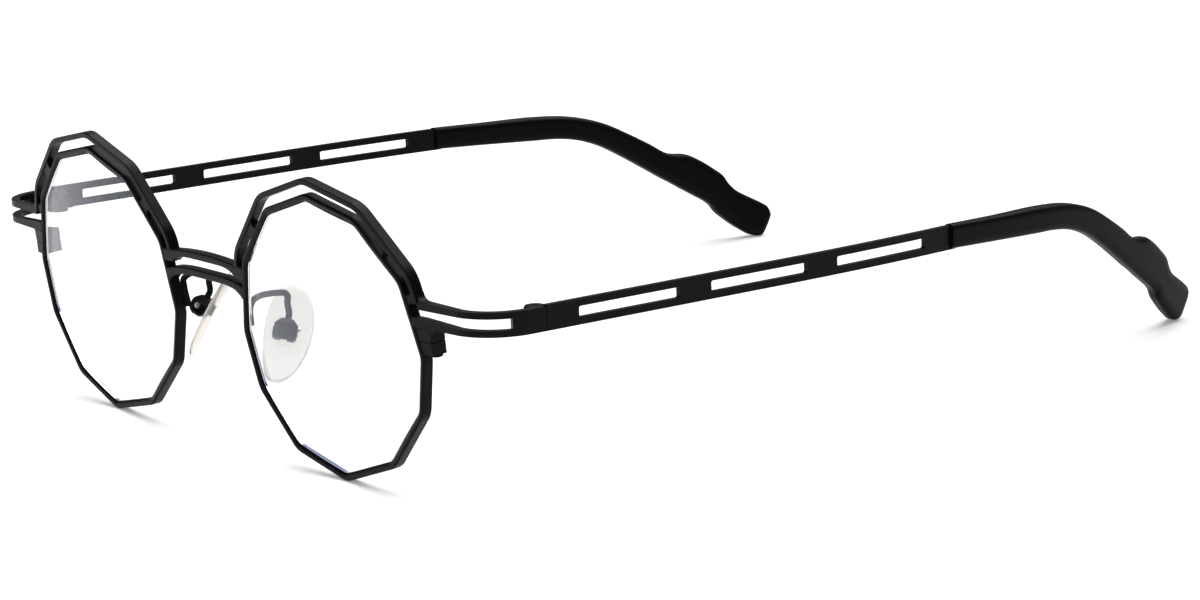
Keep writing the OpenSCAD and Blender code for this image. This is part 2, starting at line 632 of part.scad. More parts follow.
module nose_pad() color(clear_pad) pad_place() {
    back = -pad_stand + pad_t / 2;
    difference() {
        union() {
            loft([
                pad_ring(0.35, back - pad_t), pad_ring(0.72, back - pad_t * 0.93),
                pad_ring(0.9, back - pad_t * 0.8), pad_ring(1, back - pad_t * 0.5),
                pad_ring(0.97, back - pad_t * 0.2), pad_ring(0.86, back)]);
            translate([0, 0, back - 0.1]) cylinder(d = pad_w / 2, h = pad_boss_h + 0.1);
        }
        translate([-pad_tab_w / 2 - hold_fit, -pad_tab_h / 2 - hold_fit, back - pad_pocket - hold_fit])
            cube([pad_tab_w + 2 * hold_fit, pad_tab_h + 2 * hold_fit, pad_t]);
    }
}

module knuckle(low, high, bore) translate([hinge_x, hinge_y, low]) difference() {
    cylinder(d = barrel_d, h = high - low);
    translate([0, 0, -1]) cylinder(d = bore, h = high - low + 2);
}

module barrel_room(low, high) translate([hinge_x, hinge_y, low]) cylinder(r = leaf_clear_r, h = high - low);

// Front leaf: two knuckles on a plate against the inside of the endpiece
module hinge_front_leaf() color(black) hinge_place() {
    inner = knuckle_h / 2 + fold_gap / 2;
    end_x = endpiece_inner_x - solder_gap;
    plate_len = min(leaf_len, hinge_y - fold_gap - endpiece_turn_y + 0.5);
    difference() {
        translate([end_x - leaf_t, hinge_y - fold_gap - plate_len, -leaf_h / 2])
            cube([leaf_t, plate_len, leaf_h]);
        barrel_room(-inner, inner);
        translate([hinge_x, hinge_y, -barrel_h / 2 - 1]) cylinder(d = hinge_bore_d, h = barrel_h + 2);
    }
    for (side = [-1, 1]) {
        low = side > 0 ? inner : -barrel_h / 2;
        high = side > 0 ? barrel_h / 2 : -inner;
        arm_low = max(low, -leaf_h / 2);
        arm_high = min(high, leaf_h / 2);
        knuckle(low, high, hinge_bore_d);
        difference() {
            translate([hinge_x, hinge_y - barrel_r + 0.2, arm_low])
                cube([end_x - hinge_x, barrel_r - 0.2 - fold_gap, arm_high - arm_low]);
            translate([hinge_x, hinge_y, -barrel_h]) cylinder(r = barrel_r - 0.3, h = 2 * barrel_h);
        }
    }
}

// Temple leaf: the middle knuckle on a plate against the inside of the temple
module hinge_temple_leaf() color(black) hinge_place() {
    half = knuckle_h / 2 - fold_gap / 2;
    end_x = strip_inner_x - solder_gap;
    difference() {
        translate([end_x - leaf_t, hinge_y + fold_gap, -leaf_h / 2]) cube([leaf_t, leaf_len, leaf_h]);
        barrel_room(half + fold_gap / 2, barrel_h);
        barrel_room(-barrel_h, -half - fold_gap / 2);
    }
    knuckle(-half, half, hinge_turn_d);
    difference() {
        translate([hinge_x, hinge_y + fold_gap, -half]) cube([end_x - hinge_x, barrel_r - 0.3, 2 * half]);
        translate([hinge_x, hinge_y, -half - 1]) cylinder(r = barrel_r - 0.3, h = 2 * half + 2);
    }
}

module hinge_screw() color(black) hinge_place() translate([hinge_x, hinge_y, 0]) {
    translate([0, 0, -barrel_h / 2 + 0.2]) cylinder(d = hinge_screw_d, h = barrel_h - 0.1);
    translate([0, 0, barrel_h / 2 + solder_gap]) difference() {
        cylinder(d = hinge_head_d, h = hinge_head_h);
        translate([-barrel_d, -screw_slot / 2, hinge_head_h / 2]) cube([2 * barrel_d, screw_slot, 1]);
    }
}

// Flat strip with its slots, then the core that the tip is pushed over
function strip_ring(y, half_x, low, high) = [
    for (c = [[1, low], [1, high], [-1, high], [-1, low]])
    [strip_mid_x - bend_in(y, c[1]) + c[0] * half_x, y, c[1]]];
function core_rings(grow) = [
    for (i = [0:tip_last])
    if (tip_upper[i][0] + grow * 20 <= core_len)
    let (
        mid = (tip_upper[i] + tip_lower[i]) / 2, half_h = core_h / 2 + grow, half_t = core_t / 2 + grow,
        y = tip_y + mid[0] + (i == 0 ? -0.5 : 0))
    [for (c = [[1, -1], [1, 1], [-1, 1], [-1, -1]])
        let (z = mid[1] + c[1] * half_h) [strip_mid_x - bend_in(y, z) + c[0] * half_t, y, z]]];

module temple() color(black) temple_slope() {
    first_y = hinge_y + fold_gap / 2;
    last_y = tip_y - solder_gap;
    pieces = 24;
    slot_room = bend_in(tip_y, -strip_h) + 3 * strip_t;
    difference() {
        loft([for (k = [0:pieces])
            strip_ring(first_y + (last_y - first_y) * k / pieces, strip_t / 2, -strip_h / 2, strip_h / 2)]);
        for (k = [0:slot_count - 1])
            translate([temple_x + strip_t - slot_room, hinge_y + slot_start + k * slot_pitch, -slot_h / 2])
                cube([slot_room, slot_len, slot_h]);
    }
    loft(core_rings(0));
}

module temple_tip() color(tip_black) temple_slope() difference() {
    loft(tip_rings);
    loft(core_rings(0.05));
}

left_side() rim();  // rim_left
right_side() rim();  // rim_right
left_side() brow_bar();  // brow_bar_left
right_side() brow_bar();  // brow_bar_right
bridge_upper();
bridge_lower();
left_side() endpiece();  // endpiece_left
right_side() endpiece();  // endpiece_right
left_side() lens();  // lens_left
right_side() lens();  // lens_right
left_side() rim_lock_upper();  // rim_lock_upper_left
right_side() rim_lock_upper();  // rim_lock_upper_right
left_side() rim_lock_lower();  // rim_lock_lower_left
right_side() rim_lock_lower();  // rim_lock_lower_right
left_side() rim_lock_screw();  // rim_lock_screw_left
right_side() rim_lock_screw();  // rim_lock_screw_right
left_side() pad_arm();  // pad_arm_left
right_side() pad_arm();  // pad_arm_right
left_side() pad_screw();  // pad_screw_left
right_side() pad_screw();  // pad_screw_right
left_side() pad_tab();  // pad_tab_left
right_side() pad_tab();  // pad_tab_right
left_side() nose_pad();  // nose_pad_left
right_side() nose_pad();  // nose_pad_right
left_side() hinge_front_leaf();  // hinge_front_leaf_left
right_side() hinge_front_leaf();  // hinge_front_leaf_right
left_side() hinge_screw();  // hinge_screw_left
right_side() hinge_screw();  // hinge_screw_right
left_side() hinge_temple_leaf();  // hinge_temple_leaf_left
right_side() hinge_temple_leaf();  // hinge_temple_leaf_right
left_side() temple();  // temple_left
right_side() temple();  // temple_right
left_side() temple_tip();  // temple_tip_left
right_side() temple_tip();  // temple_tip_right
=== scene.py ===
# %% [markdown]
# # Black wire eyeglasses with faceted rims
# The frame is stainless steel wire and sheet, soldered, then lacquered satin black.
# Two clear lenses sit in grooves in the rims, two clear pads rock on screws behind the
# bridge, and the sheet temples fold on barrel hinges and end in moulded tips.
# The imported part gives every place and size: each piece here is drawn in the same
# millimetres as the part's source, then turned into metres where the part stands.

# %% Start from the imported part
import math

import bmesh
import bpy
from mathutils import Matrix, Vector


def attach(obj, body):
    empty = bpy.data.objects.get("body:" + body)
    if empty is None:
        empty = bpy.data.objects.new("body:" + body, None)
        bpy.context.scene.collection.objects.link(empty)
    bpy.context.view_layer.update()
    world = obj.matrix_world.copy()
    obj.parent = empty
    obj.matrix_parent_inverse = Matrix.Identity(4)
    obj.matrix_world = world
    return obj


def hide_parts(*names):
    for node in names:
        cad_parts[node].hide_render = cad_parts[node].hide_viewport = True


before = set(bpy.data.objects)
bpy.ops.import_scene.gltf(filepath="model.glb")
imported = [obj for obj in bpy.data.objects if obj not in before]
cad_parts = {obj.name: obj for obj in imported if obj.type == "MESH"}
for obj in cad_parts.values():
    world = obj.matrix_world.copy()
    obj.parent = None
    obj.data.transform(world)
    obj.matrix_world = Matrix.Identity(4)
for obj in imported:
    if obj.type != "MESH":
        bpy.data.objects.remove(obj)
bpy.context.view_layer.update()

# %% [markdown]
# ## Three places to draw in
# The front is drawn flat, with the lens centres on z = 0, as an optician draws it.
# The glasses stand on the rims and the temple ends, so that drawing tilts back a little.
# The temples slope down from the front and have a drawing of their own.
# Everything is drawn once, for the wearer's left, and mirrored for the right.

# %% Places, in millimetres
stand_tilt = math.radians(2.77379)
stand_y, stand_z = -75.6407, 21.9399
temple_z = 6.8
temple_drop = math.radians(4.2)

FRONT = (Matrix.Scale(0.001, 4) @ Matrix.Translation((0, stand_y, stand_z))
         @ Matrix.Rotation(stand_tilt, 4, "X"))
SLOPE = FRONT @ Matrix.Translation((0, 0, temple_z)) @ Matrix.Rotation(-temple_drop, 4, "X")
MIRROR = {"left": Matrix.Identity(4), "right": Matrix.Diagonal((-1, 1, 1, 1))}
print("places ready, temples slope", round(math.degrees(temple_drop), 1), "degrees")

# %% [markdown]
# ## Colour and nodes
# Colours are given as sRGB hex values, but light adds up in linear values,
# so one function turns one into the other. One more function adds a node, sets its
# inputs and joins its links, because every material below is built that way.


# %% Helpers for materials
def hex_rgb(code):
    """A linear colour from an sRGB hex code."""
    values = [int(code[i:i + 2], 16) / 255 for i in (1, 3, 5)]
    linear = [v / 12.92 if v <= 0.04045 else ((v + 0.055) / 1.055) ** 2.4 for v in values]
    return (*linear, 1.0)


def add_node(tree, kind, inputs=None, links=None, **settings):
    """A new node with its settings, its input values and its links (input: output socket)."""
    node = tree.nodes.new(kind)
    for key, value in settings.items():
        setattr(node, key, value)
    for key, value in (inputs or {}).items():
        node.inputs[key].default_value = value
    for key, socket in (links or {}).items():
        tree.links.new(socket, node.inputs[key])
    return node


def new_material(name, inputs):
    """A material with one main shader, its inputs set by name."""
    material = bpy.data.materials.new(name)
    material.use_nodes = True
    tree = material.node_tree
    tree.nodes.clear()
    shader = add_node(tree, "ShaderNodeBsdfPrincipled", inputs)
    output = add_node(tree, "ShaderNodeOutputMaterial", links={"Surface": shader.outputs[0]})
    return material, tree, shader, output


def fine_bumps(tree, shader, size_mm, strength, height_mm):
    """A fine skin of bumps size_mm wide on the shader; gives back where the piece is."""
    spot = add_node(tree, "ShaderNodeTexCoord").outputs["Object"]
    noise = add_node(tree, "ShaderNodeTexNoise", {"Scale": 1000 / size_mm, "Detail": 1.0},
                     {"Vector": spot})
    bump = add_node(tree, "ShaderNodeBump", {"Strength": strength, "Distance": height_mm / 1000},
                    {"Height": noise.outputs[0]})
    tree.links.new(bump.outputs[0], shader.inputs["Normal"])
    return spot


print("black lacquer as linear:", [round(v, 4) for v in hex_rgb("#08080a")[:3]])

# %% [markdown]
# ## Satin black lacquer on steel
# The wire and sheet are sprayed and baked. The photo shows faces nearly black from the
# front and dark grey from above, where the eye meets them at a slant. So the colour is
# very dark, and the mirror part weak: only a slant look brings it up. The baked skin
# has a very fine orange peel of about 0.4 mm and is not equally satin everywhere.

# %% Lacquer
PEEL_MM, CLOUD_MM = 0.4, 6.0
SATIN_LOW, SATIN_HIGH = 0.31, 0.41
lacquer, tree, shader, _ = new_material("satin black lacquer", {
    "Base Color": hex_rgb("#08080a"), "Roughness": 0.36, "IOR": 1.5, "Specular IOR Level": 0.085})
spot = fine_bumps(tree, shader, PEEL_MM, strength=0.12, height_mm=0.02)
cloud = add_node(tree, "ShaderNodeTexNoise", {"Scale": 1000 / CLOUD_MM, "Detail": 2.0},
                 {"Vector": spot})
satin = add_node(tree, "ShaderNodeMapRange", {"To Min": SATIN_LOW, "To Max": SATIN_HIGH},
                 {"Value": cloud.outputs[0]})
tree.links.new(satin.outputs[0], shader.inputs["Roughness"])
print("made", lacquer.name)

# %% [markdown]
# ## Moulded tips
# The tips are black plastic, moulded over the end of the temple. A mould that was
# blasted leaves a matt skin: its highlight is wider and softer than the lacquer's.

# %% Tip plastic
GRAIN_MM = 0.25
tip_plastic, tree, shader, _ = new_material("matt moulded black plastic", {
    "Base Color": hex_rgb("#08080a"), "Roughness": 0.42, "IOR": 1.47, "Specular IOR Level": 0.07})
fine_bumps(tree, shader, GRAIN_MM, strength=0.2, height_mm=0.02)
print("made", tip_plastic.name)

# %% [markdown]
# ## Lens plastic and clear silicone
# The lenses are polished clear plastic, whose own IOR is about 1.5. A thin coating takes
# part of the mirror away and leaves the rest bluish, hence the lower IOR and the tint.
# Seen at a slant they still mirror the white table, so black parts behind them turn grey.
# Real light passes a lens and still falls on the table: a shader that lets shadow rays
# through keeps the table bright under it.
# The pads are silicone rubber: it lets most light through and scatters the rest, which
# looks slightly milky. Its own IOR is about 1.4; a lower one keeps their outline fine.


# %% Clear plastics
def let_shadows_through(material, tree, shader, output, tint):
    """Shadow rays pass the material with a light tint instead of stopping at it."""
    rays = add_node(tree, "ShaderNodeLightPath")
    clear = add_node(tree, "ShaderNodeBsdfTransparent", {"Color": hex_rgb(tint)})
    mix = add_node(tree, "ShaderNodeMixShader", links={
        0: rays.outputs["Is Shadow Ray"], 1: shader.outputs[0], 2: clear.outputs[0]})
    tree.links.new(mix.outputs[0], output.inputs["Surface"])


lens_plastic, tree, shader, output = new_material("polished clear lens plastic", {
    "Base Color": hex_rgb("#fafcff"), "Roughness": 0.0, "IOR": 1.34, "Transmission Weight": 1.0,
    "Specular Tint": hex_rgb("#b0c2f4")})
let_shadows_through(lens_plastic, tree, shader, output, "#f2f4f6")

pad_silicone, tree, shader, output = new_material("clear silicone rubber", {
    "Base Color": hex_rgb("#f3efe7"), "Roughness": 0.1, "IOR": 1.27, "Transmission Weight": 0.71})
let_shadows_through(pad_silicone, tree, shader, output, "#e4e4e2")
print("made", lens_plastic.name, "and", pad_silicone.name)

# %% [markdown]
# ## Bare screws
# Only the small pad screws and the tabs inside the pads are left bare. The screws are
# turned steel with a thin nickel plating, bright against the black and finely rough from
# the turning. The tabs are stamped from plain steel that the hot mould has browned, so
# they are much darker, and their skin is coarser.

# %% Nickel
TURNED_MM, STAMPED_MM = 0.1, 0.3
nickel, tree, shader, _ = new_material("nickel plated steel", {
    "Base Color": hex_rgb("#d6d4cf"), "Metallic": 1.0, "Roughness": 0.22})
fine_bumps(tree, shader, TURNED_MM, strength=0.1, height_mm=0.01)
tab_steel, tree, shader, _ = new_material("mould browned steel", {
    "Base Color": hex_rgb("#4b4a4a"), "Metallic": 1.0, "Roughness": 0.4})
fine_bumps(tree, shader, STAMPED_MM, strength=0.1, height_mm=0.01)
print("made", nickel.name, "and", tab_steel.name)

# %% [markdown]
# ## Tools for shapes
# Nearly every piece is a section carried along a line: wire, sheet, tip and pad. So the
# main tool joins rings of points into a closed skin. Another softens the corners of a
# flat outline, because no lacquered edge is sharp.


# %% Rings, outlines and lines
def loft(rings, bm=None):
    """Joins rings of equal length into a closed skin, in bm if one is given."""
    bm = bm or bmesh.new()
    rows = [[bm.verts.new(p) for p in ring] for ring in rings]
    for low, high in zip(rows, rows[1:]):
        for i in range(len(low)):
            j = (i + 1) % len(low)
            bm.faces.new((low[i], low[j], high[j], high[i]))
    bm.faces.new(rows[0][::-1])
    bm.faces.new(rows[-1])
    return bm


def soften(points, size, steps=2):
    """A flat outline with each corner cut back by size and rounded."""
    soft = []
    for i, corner in enumerate(points):
        p, before = Vector(corner), Vector(points[i - 1])
        after = Vector(points[(i + 1) % len(points)])
        a = p + (before - p).normalized() * min(size, (before - p).length * 0.45)
        b = p + (after - p).normalized() * min(size, (after - p).length * 0.45)
        for k in range(steps + 1):
            t = k / steps
            soft.append(a * (1 - t) ** 2 + p * 2 * t * (1 - t) + b * t ** 2)
    return soft


def smooth_line(points, steps=8):
    """A smooth curve through points, with steps pieces from each to the next."""
    points = [Vector(p) for p in points]
    gaps = [(b - a).length for a, b in zip(points, points[1:])]
    ways = [(b - a) / gap for a, b, gap in zip(points, points[1:], gaps)]
    slopes = [ways[0]] + [(ways[i] * gaps[i + 1] + ways[i + 1] * gaps[i]) / (gaps[i] + gaps[i + 1])
                          for i in range(len(gaps) - 1)] + [ways[-1]]
    line = []
    for a, b, gap, m, n in zip(points, points[1:], gaps, slopes, slopes[1:]):
        for k in range(steps):
            t = k / steps
            line.append(a * (2 * t ** 3 - 3 * t ** 2 + 1) + b * (3 * t ** 2 - 2 * t ** 3)
                        + (m * (t ** 3 - 2 * t ** 2 + t) + n * (t ** 3 - t ** 2)) * gap)
    return line + [points[-1]]


def prism(outline, low, high, place):
    """A flat outline pulled from low to high; place turns (x, y, level) into a point."""
    return loft([[place(p[0], p[1], level) for p in outline] for level in (low, high)])


def lying(x, y, z):
    """The place of an outline that was drawn as seen from above."""
    return Vector((x, y, z))


def standing(y, z, x):
    """The place of an outline that was drawn as seen from the side."""
    return Vector((x, y, z))


def box_mesh(low, high):
    """A plain box between two corners."""
    corners = [(low[0], low[1]), (high[0], low[1]), (high[0], high[1]), (low[0], high[1])]
    return prism(corners, low[2], high[2], lying)


def turned(profile, steps=40):
    """A shape as from a lathe, from (radius, height) points."""
    around = [2 * math.pi * k / steps for k in range(steps)]
    return loft([[Vector((r * math.cos(a), r * math.sin(a), z)) for a in around]
                 for r, z in profile])


print("drawing tools ready")

# %% [markdown]
# Pieces are also cut, joined and given broken edges, as in the shop. The last tools
# make a mesh into a piece that rides on its body and stands for its CAD node.


# %% Cutting, joining and finished pieces
def combine(bm, other, operation="DIFFERENCE"):
    """bm with the other shape taken out, or joined, or only what both share."""
    objects = []
    for part in (bm, other):
        bmesh.ops.recalc_face_normals(part, faces=part.faces)
        mesh = bpy.data.meshes.new("temporary")
        part.to_mesh(mesh)
        part.free()
        objects.append(bpy.data.objects.new("temporary", mesh))
        bpy.context.collection.objects.link(objects[-1])
    boolean = objects[0].modifiers.new("combine", "BOOLEAN")
    boolean.operation = operation
    boolean.solver = "EXACT"
    boolean.object = objects[1]
    result = bmesh.new()
    result.from_object(objects[0], bpy.context.evaluated_depsgraph_get())
    for temporary in objects:
        mesh = temporary.data
        bpy.data.objects.remove(temporary)
        bpy.data.meshes.remove(mesh)
    return result


def break_edges(bm, width, angle=30, flat=0.05):
    """Rounds every edge that turns by more than angle degrees."""
    bmesh.ops.dissolve_limit(bm, angle_limit=math.radians(flat), verts=bm.verts, edges=bm.edges)
    sharp = [e for e in bm.edges if e.is_manifold and e.calc_face_angle() > math.radians(angle)]
    bmesh.ops.bevel(bm, geom=sharp, offset=width, segments=2, profile=0.6, affect="EDGES",
                    clamp_overlap=True)
    return bm


def piece(name, bm, place, body, node, material, crisp=38):
    """A finished mesh as one rigid piece on its body, in place of its CAD node."""
    bm.transform(place)
    bmesh.ops.recalc_face_normals(bm, faces=bm.faces)
    mesh = bpy.data.meshes.new(name)
    bm.to_mesh(mesh)
    bm.free()
    mesh.shade_smooth()
    mesh.set_sharp_from_angle(angle=math.radians(crisp))
    mesh.materials.append(material)
    obj = bpy.data.objects.new(name, mesh)
    bpy.context.collection.objects.link(obj)
    if material in (lacquer, tip_plastic):
        even = obj.modifiers.new("even shading", "WEIGHTED_NORMAL")
        even.keep_sharp = True
    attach(obj, body)
    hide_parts(node)
    return obj


def both_sides(name, make, place, material, body="front", crisp=38, at=Matrix.Identity(4)):
    """The same drawing as a left and a right piece; body may have a side put in."""
    for side, mirror in MIRROR.items():
        piece(f"{name}_{side}_look", make(), place @ mirror @ at, body.format(side=side),
              f"{name}_{side}", material, crisp)


print("shape tools ready")

# %% [markdown]
# ## The twelve-sided outline
# Each lens opening is a slightly uneven twelve-sided figure, 45 mm wide and 42 mm high,
# turned a little so that the temple side is higher. The wire is bent round it, so its
# corners are soft. The rims also wrap: each leans back at the temple, and is bent to an
# upright cylinder so that the temple and nose sides lie deeper than the top and bottom.

# %% Outline and its stations
lens_w, lens_h, nose_gap = 45.0, 42.0, 22.0
lens_turn = math.radians(2.7)
corner_r = 3.0
wrap = math.radians(2.4)
face_form_r = 290.0
lens_x = (nose_gap + lens_w) / 2
rim_set = lens_h ** 2 / 8 / face_form_r / 2

half_outline = [
    (0, 1), (0.502, 0.86), (0.88, 0.466), (1, -0.049), (0.902, -0.447), (0.538, -0.838),
    (0, -0.993)]
shares = half_outline + [(-x, y) for x, y in half_outline[5:0:-1]]
opening_turn = Matrix.Rotation(lens_turn, 2)
corners = [opening_turn @ Vector((x * lens_w / 2, y * lens_h / 2)) for x, y in shares]
NOSE_SIDE, TEMPLE_SIDE = 9, 2


def side_out(i):
    """The outward direction of the side that starts at corner i."""
    d = (corners[(i + 1) % 12] - corners[i % 12]).normalized()
    return Vector((-d.y, d.x))


def corner_arc(i, steps=5):
    """Stations (point, outward) round corner i."""
    first, angle = side_out(i - 1), side_out(i - 1).angle(side_out(i))
    into = (corners[i % 12] - corners[(i - 1) % 12]).normalized()
    centre = corners[i % 12] - into * corner_r * math.tan(angle / 2) - first * corner_r
    turns = [Matrix.Rotation(-angle * k / steps, 2) @ first for k in range(steps + 1)]
    return [(centre + out * corner_r, out) for out in turns]


def on_side(i, z):
    """The station on side i at height z."""
    a, b = corners[i % 12], corners[(i + 1) % 12]
    return a.lerp(b, (z - a.y) / (b.y - a.y)), side_out(i)


print("corners:", [(round(c.x, 1), round(c.y, 1)) for c in corners])

# %% [markdown]
# A rim could be drawn in space at once. It is easier to draw it flat, as a line of
# stations, each with its outward direction, and to let one function bend every point to
# the cylinder and lean it back. All that sits on the rim passes through that function,
# so wire, brow bar, lock and lens keep their places to each other.


# %% From the flat drawing to the bent rim
def placed(u, z, depth):
    """A point of the left rim: u towards the temple, z up, depth back from the rim's face."""
    d = depth + u * u / (2 * face_form_r) - rim_set
    return Vector((lens_x + u * math.cos(wrap) - d * math.sin(wrap),
                   u * math.sin(wrap) + d * math.cos(wrap), z))


def side_u(i, z, out):
    """How far towards the temple the line lies that is out from side i, at height z."""
    point, way = on_side(i, z)
    return point.x + out / way.x


def reach(i, z, out):
    """The same line's distance from the middle of the nose."""
    return lens_x + side_u(i, z, out) * math.cos(wrap)


def wire(stations, section):
    """A section of (outward, depth) points carried along stations."""
    return loft([[placed(*(point + out * o), d) for o, d in section] for point, out in stations])


print("lens centres", 2 * lens_x, "mm apart")

# %% [markdown]
# ## Eyewires
# An eyewire is drawn wire with a V groove inside that holds the lens edge. It is cut at
# the temple side so that the lens can be changed, and a small screwed block closes it.
# The front face slopes in towards the lens, which gives each side its thin light line.
# The wire is one section carried round the outline, groove and all, so it needs no cut.
# Closed, its two ends nearly touch; a wider gap would show as a bright speck. Pieces
# that are soldered together keep a gap for the solder between them.

# %% Eyewires
wire_w, wire_d = 1.18, 1.75
wire_front = 0.01 - wire_d / 4
wire_back = wire_d + wire_front
groove_w, groove_depth = 0.66, 0.42
groove_mid = wire_back / 2
SOLDER_GAP = 0.04
endpiece_h, endpiece_bar_h, endpiece_low = 3.6, 0.95, 0.1
lock_h, lock_side, lock_back, rim_cut = 4.0, 1.9, 1.2, 0.05
RIM_END_GAP = 0.01
endpiece_under = temple_z - endpiece_low - endpiece_h / 2
lock_top = endpiece_under - (wire_back + lock_back) * math.tan(temple_drop) - 2 * SOLDER_GAP
lock_low, lock_mid = lock_top - lock_h, lock_top - lock_h / 2

rim_section = soften([
    (0, groove_mid - groove_w / 2), (0, 0), (wire_w * 0.3, wire_front * 0.75),
    (wire_w * 0.78, wire_front), (wire_w, wire_front * 0.5), (wire_w, wire_back), (0, wire_back),
    (0, groove_mid + groove_w / 2), (groove_depth, groove_mid)], 0.11)


def rim():
    """The eyewire, from its lower end at the lock round to its upper end."""
    stations = [on_side(TEMPLE_SIDE, lock_mid - RIM_END_GAP / 2)]
    for i in range(TEMPLE_SIDE + 1, TEMPLE_SIDE + 13):
        stations += corner_arc(i)
    stations.append(on_side(TEMPLE_SIDE, lock_mid + RIM_END_GAP / 2))
    return wire(stations, rim_section)


both_sides("rim", rim, FRONT, lacquer)
print("eyewires", wire_w, "mm wide, groove", groove_depth, "mm deep")

# %% [markdown]
# ## Brow bars
# A second, slimmer wire follows the upper half of each rim at a little distance. It is
# soldered at the bridge and at the endpiece, and a tiny web joins it halfway up each side.

# %% Brow bars
brow_gap, brow_w, web_len = 1.4, 0.95, 1.3
brow_in = wire_w + brow_gap
brow_out = brow_in + brow_w
bridge_top_z, bridge_low_z, bridge_bar_h, bridge_top_fall = 8.05, 5.2, 1.2, 1.3
bridge_end_under = bridge_top_z - bridge_bar_h / 2 - bridge_top_fall
endpiece_under_bar = temple_z - endpiece_low + endpiece_h / 2 - endpiece_bar_h - 0.1
brow_edge = brow_out - 0.01
brow_section = soften([(brow_in, wire_front), (brow_edge, wire_front), (brow_edge, wire_back),
                       (brow_in, wire_back)], 0.16, 3)


def filler(bm, i, low, high):
    """A small bridge of solder and wire across the slot on side i."""
    overlap, inset = 0.2, 0.2
    inner, outer = wire_w - overlap, brow_in + overlap
    flare = 0.35 if high > low else -0.35
    outline = [(low - flare, inner), (low, (inner + outer) / 2), (low - flare, outer),
               (high + flare, outer), (high, (inner + outer) / 2), (high + flare, inner)]
    points = []
    for z, offset in soften(outline, 0.3, 3):
        point, out = on_side(i, z)
        points.append(point + out * offset)
    depths = (wire_front + inset, wire_back - inset)
    loft([[placed(*p, depth) for p in points] for depth in depths], bm)


def brow_bar():
    """The second wire from the bridge round to the endpiece, with its joints and webs."""
    stations = [on_side(NOSE_SIDE, bridge_end_under)]
    for i in range(NOSE_SIDE + 1, 12 + TEMPLE_SIDE + 1):
        stations += corner_arc(i)
    stations.append(on_side(TEMPLE_SIDE, endpiece_under_bar))
    bm = wire(stations, brow_section)
    near, far = 0.3, 1.3
    filler(bm, NOSE_SIDE, bridge_end_under + near, bridge_end_under + far)
    filler(bm, TEMPLE_SIDE, endpiece_under_bar + far, endpiece_under_bar + near)
    for i in (NOSE_SIDE + 1, TEMPLE_SIDE - 1):
        middle = (corners[i].y + corners[(i + 1) % 12].y) / 2
        rise = math.copysign(web_len / 2, corners[(i + 1) % 12].y - corners[i].y)
        filler(bm, i, middle - rise, middle + rise)
    return bm


both_sides("brow_bar", brow_bar, FRONT, lacquer)
print("brow bars", round(brow_out, 2), "mm outside the lens line")

# %% [markdown]
# ## Bridge
# Two bars cross the nose. Each is thickest where it runs into the rims, because solder
# fills the corner there, so the underside falls away towards its ends. The upper bar
# runs on past the brow bars to the eyewires, so that one joint holds both wires.


# %% Bridge bars
def bridge_bar(mid_z, under_fall, over_fall, sharp, out, run_on=0.0, steps=30):
    """A bar across the nose; its edges fall to its ends, which lie out from the lens."""
    under, over = mid_z - bridge_bar_h / 2, mid_z + bridge_bar_h / 2
    sink = 0.25
    under_x = reach(NOSE_SIDE, under - under_fall, out)
    over_x = reach(NOSE_SIDE, over - over_fall, out)
    nose_y = placed(-lens_w / 2, 0, 0).y
    front, back = nose_y + wire_front, nose_y + wire_back
    section = soften([(front, 0), (front, 1), (back, 1), (back, 0)], 0.2, 3)
    rings = []
    for k in range(-steps, steps + 1):
        s = k / steps
        low = Vector(((under_x + sink) * s, under - under_fall * abs(s) ** 6))
        high = Vector(((over_x + sink) * s, over - over_fall * abs(s) ** sharp))
        points = [(low.lerp(high, h), y) for y, h in section]
        rings.append([Vector((p.x, y, p.y)) for p, y in points])
    if run_on:
        first, last = [[p + Vector((side * run_on, 0, 0)) for p in ring] for side, ring in
                       ((-1, rings[0]), (1, rings[-1]))]
        rings = [first] + rings + [last]
    return loft(rings)


upper_bar = bridge_bar(bridge_top_z, under_fall=bridge_top_fall, over_fall=0.5, sharp=2,
                       out=brow_out, run_on=2.3)
lower_bar = bridge_bar(bridge_low_z, under_fall=1.9, over_fall=0.9, sharp=4, out=wire_w)
piece("bridge_upper_look", upper_bar, FRONT, "front", "bridge_upper", lacquer)
piece("bridge_lower_look", lower_bar, FRONT, "front", "bridge_lower", lacquer)
print("bridge bars at", bridge_top_z, "and", bridge_low_z, "mm")

# %% [markdown]
# ## Endpieces
# Each endpiece is a strip of steel that leaves the rim, sweeps back a little, bends round
# the corner of the face and ends in a block at the hinge. Its line is drawn first, as
# seen from above, and the strip's four edges are carried along it.

# %% The endpiece seen from above
temple_x, endpiece_t, endpiece_set, endpiece_r, endpiece_block = 72.9, 1.35, 1.25, 8.0, 5.5
sweep, endpiece_fillet = math.radians(5), 1.2
hinge_y, fold_gap = 12.65, 0.1
RISE, SLOT_RISE, RISE_LENGTH = 0.3, 0.45, 7.5
BEND_STEPS = 24
root_x = reach(TEMPLE_SIDE, temple_z, brow_out)
turn_x = temple_x - endpiece_r
turn_y = endpiece_set + (endpiece_r + (turn_x - root_x) * math.sin(sweep)) / math.cos(sweep)
end_y = hinge_y - fold_gap / 2


def front_point(along, z, across):
    """A point from its place along the endpiece's front, its height and its depth."""
    return Vector((root_x + along * math.cos(sweep) - across * math.sin(sweep),
                   endpiece_set + along * math.sin(sweep) + across * math.cos(sweep), z))


def front_at(z, out):
    """Where along the front the line lies that is out from the lens opening."""
    return (reach(TEMPLE_SIDE, temple_z + z - 0.15, out) + 0.1 - root_x) / math.cos(sweep)


